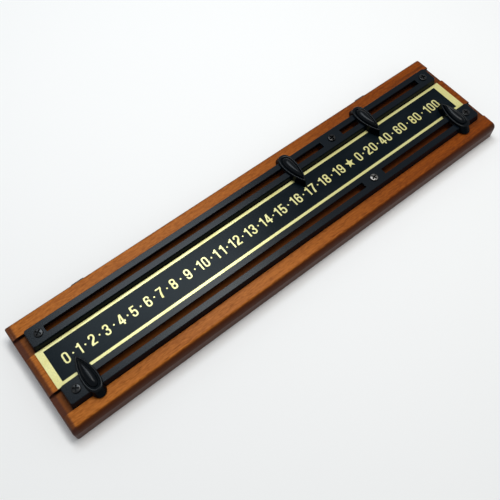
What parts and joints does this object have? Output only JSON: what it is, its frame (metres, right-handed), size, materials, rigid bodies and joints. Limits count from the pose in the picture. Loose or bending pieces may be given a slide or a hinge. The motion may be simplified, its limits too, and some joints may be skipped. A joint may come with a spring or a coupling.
{
  "type": "snooker scoreboard",
  "caption": "Long stained wooden snooker scoreboard with a black and gold number strip, slotted black rails and leaf-shaped pointers that slide along them.",
  "frame": {"origin": "centre of the board's flat back face", "axes": "+X along the board in the direction the numbers grow, +Y towards the edge with the wall plates, +Z out of the face"},
  "size_m": [0.604, 0.1485, 0.0399],
  "materials": {
    "stained_wood": "satin lacquer over a reddish mahogany stain",
    "plate_black": "satin black print with gold border and figures",
    "rail_plastic": "semi-gloss moulded black",
    "pointer_plastic": "semi-gloss moulded black",
    "foot_plastic": "plain moulded black",
    "screw_steel": "darkened zinc plating",
    "hanger_steel": "plain pressed steel"
  },
  "bodies": {
    "base": {"board": "stained_wood", "number_plate": "plate_black", "upper_rail": "rail_plastic", "lower_rail": "rail_plastic", "upper_rail_screw_left": "screw_steel", "upper_rail_screw_middle": "screw_steel", "upper_rail_screw_right": "screw_steel", "lower_rail_screw_left": "screw_steel", "lower_rail_screw_middle": "screw_steel", "lower_rail_screw_right": "screw_steel", "left_wall_plate": "hanger_steel", "left_wall_plate_screw_1": "screw_steel", "left_wall_plate_screw_2": "screw_steel", "right_wall_plate": "hanger_steel", "right_wall_plate_screw_1": "screw_steel", "right_wall_plate_screw_2": "screw_steel"},
    "upper_units": {"upper_units_pointer": "pointer_plastic", "upper_units_pointer_foot": "foot_plastic", "upper_units_pointer_pin": "screw_steel"},
    "upper_tens": {"upper_tens_pointer": "pointer_plastic", "upper_tens_pointer_foot": "foot_plastic", "upper_tens_pointer_pin": "screw_steel"},
    "lower_units": {"lower_units_pointer": "pointer_plastic", "lower_units_pointer_foot": "foot_plastic", "lower_units_pointer_pin": "screw_steel"},
    "lower_tens": {"lower_tens_pointer": "pointer_plastic", "lower_tens_pointer_foot": "foot_plastic", "lower_tens_pointer_pin": "screw_steel"}
  },
  "joints": [
    {"name": "upper_units_slide", "type": "slide", "parent": "base", "child": "upper_units", "axis": [1, 0, 0], "range_m": [-0.3162, 0.0467]},
    {"name": "upper_tens_slide", "type": "slide", "parent": "base", "child": "upper_tens", "axis": [1, 0, 0], "range_m": [-0.0327, 0.0882]},
    {"name": "lower_units_slide", "type": "slide", "parent": "base", "child": "lower_units", "axis": [1, 0, 0], "range_m": [-0.0018, 0.3611]},
    {"name": "lower_tens_slide", "type": "slide", "parent": "base", "child": "lower_tens", "axis": [1, 0, 0], "range_m": [-0.1204, 0.0005]}
  ]
}
